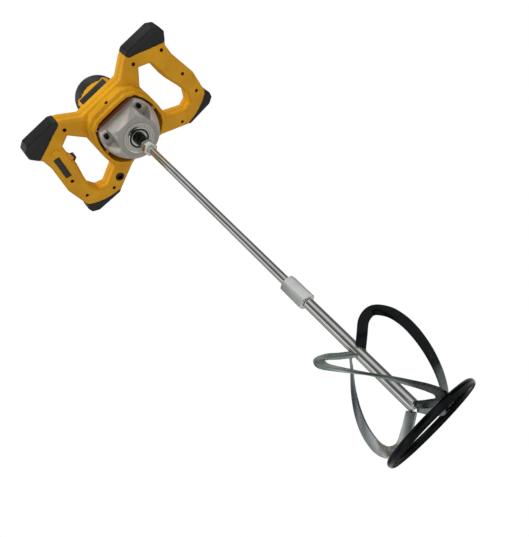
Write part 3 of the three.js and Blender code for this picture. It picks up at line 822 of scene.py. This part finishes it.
# the beads draw from rng in this order: both sides of the root, the foot, the ring
ROOT_BEAD, BEAD = 1.3, 1.5
R_FOOT, R_ON_RING = 6.6, R_RING - 2.6
ROOT_REACH = 6.4        # half the length of a root bead
ROOT_ASIDE = 1.9        # from the arm's middle plane to the bead
FOOT_SPAN, RING_SPAN = 48, 7
RING_LAG = 77           # degrees from an arm's root to where it meets the ring
for k, root in enumerate(ARM_ROOTS, 1):
    dress(arm(f"paddle_arm_{k}", root), "output", "blade_steel", f"blade_{k}", finish=arm_painted_reflections[k - 1])
    (_, z_root, root_lag), _ = on_line(0.0)
    (_, _, foot_lag), _ = on_line(1.0)
    for letter, sign in (("a", -1), ("b", 1)):
        path = []
        for s in steps_between(-ROOT_REACH, ROOT_REACH, 17):
            angle = math.radians(root + root_lag) + (sign * ROOT_ASIDE - s * math.sin(ARM_PITCH)) / R_LOW
            path.append((R_LOW * math.cos(angle), R_LOW * math.sin(angle), z_root + s * math.cos(ARM_PITCH)))
        weld(f"weld_root_{k}_{letter}", path, ROOT_BEAD)
    for spot_name, r, z, middle_angle, span in (
            ("foot", R_FOOT, z_end + 1.2, root + foot_lag, FOOT_SPAN),
            ("ring", R_ON_RING, 2 * R_BAR - 0.6, root + RING_LAG, RING_SPAN)):
        turn = [math.radians(middle_angle + step) for step in steps_between(-span, span, 15)]
        weld(f"weld_{spot_name}_{k}", [(r * math.cos(a), r * math.sin(a), z) for a in turn], BEAD)

# ---------------------------------------------------------------- screw bosses on the collar wall
for side, hand in (("right", 1), ("left", -1)):
    boss = lathe(f"collar_boss_{side}", fillet([
        (1.4, 661), (3.2, 661), (3.2, 688), (1.4, 688)], 0.5, closed=True), 40, hand * 56.6, 6.5)
    dress(shade(boss, 40), "head", "yellow_plastic")

# ---------------------------------------------------------------- finishes of the CAD pieces that stay
PLAIN = {
    "gearbox_cover": "cast_alloy", "collar_screw": "black_steel", "switch_body": "black_plastic",
    "stator": "machined_steel", "field_coil_left": "copper_winding", "field_coil_right": "copper_winding",
    "brush_holder_left": "brass_part", "brush_holder_right": "brass_part",
    "armature_bearing_front": "bearing_steel", "armature_bearing_rear": "bearing_steel",
    "output_gear": "machined_steel", "intermediate_shaft": "machined_steel",
    "intermediate_wheel": "machined_steel", "armature_shaft": "machined_steel",
    "armature_core": "machined_steel", "commutator": "copper_winding", "fan": "black_plastic",
}
PLAIN.update({screw: "black_steel" for screw in housing_screws})
PLAIN.update({f"gearbox_screw_{i}": "black_steel" for i in range(1, 5)})
# pieces that the photo shows in the shade of the collar or of their hole
# these finishes are painted shade, not the parts' own colours
SHADED = {screw: SCREW_IN_PAINTED_SHADE for screw in housing_screws}
SHADED["gearbox_cover"] = WALL_IN_PAINTED_SHADE
for name, slot in PLAIN.items():
    nodes[name].data.materials.clear()
    nodes[name].data.materials.append(SHADED.get(name, FINISH[slot]))
    if "screw" in name:
        add_modifier(nodes[name], "BEVEL", width=0.25 * MM, segments=2, limit_method="ANGLE",
                     angle_limit=math.radians(40))


# ---------------------------------------------------------------- stage
def plane(name, size, height):
    bm = bmesh.new()
    corners = [(-size, -size), (size, -size), (size, size), (-size, size)]
    bm.faces.new([bm.verts.new((x, y, height)) for x, y in corners])
    return from_bmesh(name, bm)


FLOOR_HALF = 6
FLOOR_HEIGHT = -0.0005
floor = plane("floor", FLOOR_HALF, FLOOR_HEIGHT)
ground = Finish("floor_finish")
ground.done(ground.ramp(ground.noise(3, 2), [(0.3, (0.83, 0.83, 0.82)), (0.7, (0.86, 0.86, 0.85))]), 0.8)
# the camera is under the floor, so it is see-through from below
backfacing = ground.new("NewGeometry").outputs["Backfacing"]
clear = ground.new("BsdfTransparent").outputs["BSDF"]
surface = ground.either(backfacing, ground.shader.outputs["BSDF"], clear)
ground.link(surface, ground.tree.nodes["Material Output"].inputs["Surface"])
floor.data.materials.append(ground.material)

# light panels and dark gaps of the studio, as [azimuth in turns from -X, brightness]
BANDS = [
    (0.0, 0.5), (0.05, 1.2), (0.1, 2.2), (0.14, 0.7), (0.19, 0.16), (0.25, 0.3), (0.3, 1.1), (0.36, 1.7),
    (0.42, 0.9), (0.48, 0.25), (0.56, 0.2), (0.64, 0.6), (0.72, 0.9), (0.8, 0.4), (0.88, 0.2), (0.95, 1.3),
    (1.0, 0.5),
]
WORLD_STRENGTH = 0.5
world = bpy.data.worlds.new("studio")
scene.world = world
world.use_nodes = True
studio = Nodes(world.node_tree)
direction = studio.parts_of(studio.new("TexCoord").outputs["Generated"])
azimuth = studio.math("ARCTAN2", direction["Y"], direction["X"])
turns = studio.spread(azimuth, 0.0, 1.0, -math.pi, math.pi)
panels = studio.ramp(turns, [(position, (bright, bright, bright)) for position, bright in BANDS])
sky = studio.tree.nodes["Background"]
sky.inputs["Strength"].default_value = WORLD_STRENGTH
studio.link(panels, sky.inputs["Color"])
# the camera itself sees plain white
white = studio.new("Background")
white.inputs["Color"].default_value = (1, 1, 1, 1)
white.inputs["Strength"].default_value = 1.0
seen = studio.new("LightPath").outputs["Is Camera Ray"]
light = studio.either(seen, sky.outputs["Background"], white.outputs["Background"])
studio.link(light, studio.tree.nodes["World Output"].inputs["Surface"])
scene.view_settings.view_transform = "Standard"


AIM = Vector((0, 0, 0.5))


def softbox(name, at, width, height, power):
    """Soft lamp aimed at the middle of the tool; shiny metal doesn't mirror it."""
    data = bpy.data.lights.new(name, "AREA")
    data.shape = "RECTANGLE"
    data.size = width
    data.size_y = height
    data.energy = power
    lamp = bpy.data.objects.new(name, data)
    scene.collection.objects.link(lamp)
    lamp.location = at
    lamp.visible_glossy = False
    lamp.rotation_mode = "QUATERNION"
    lamp.rotation_quaternion = (AIM - Vector(at)).to_track_quat("-Z", "Y")


softbox("key", (-0.5, -1.5, 2.3), 1.2, 1.2, 44)
softbox("fill", (1.6, -0.8, 1.2), 1.0, 1.6, 8)
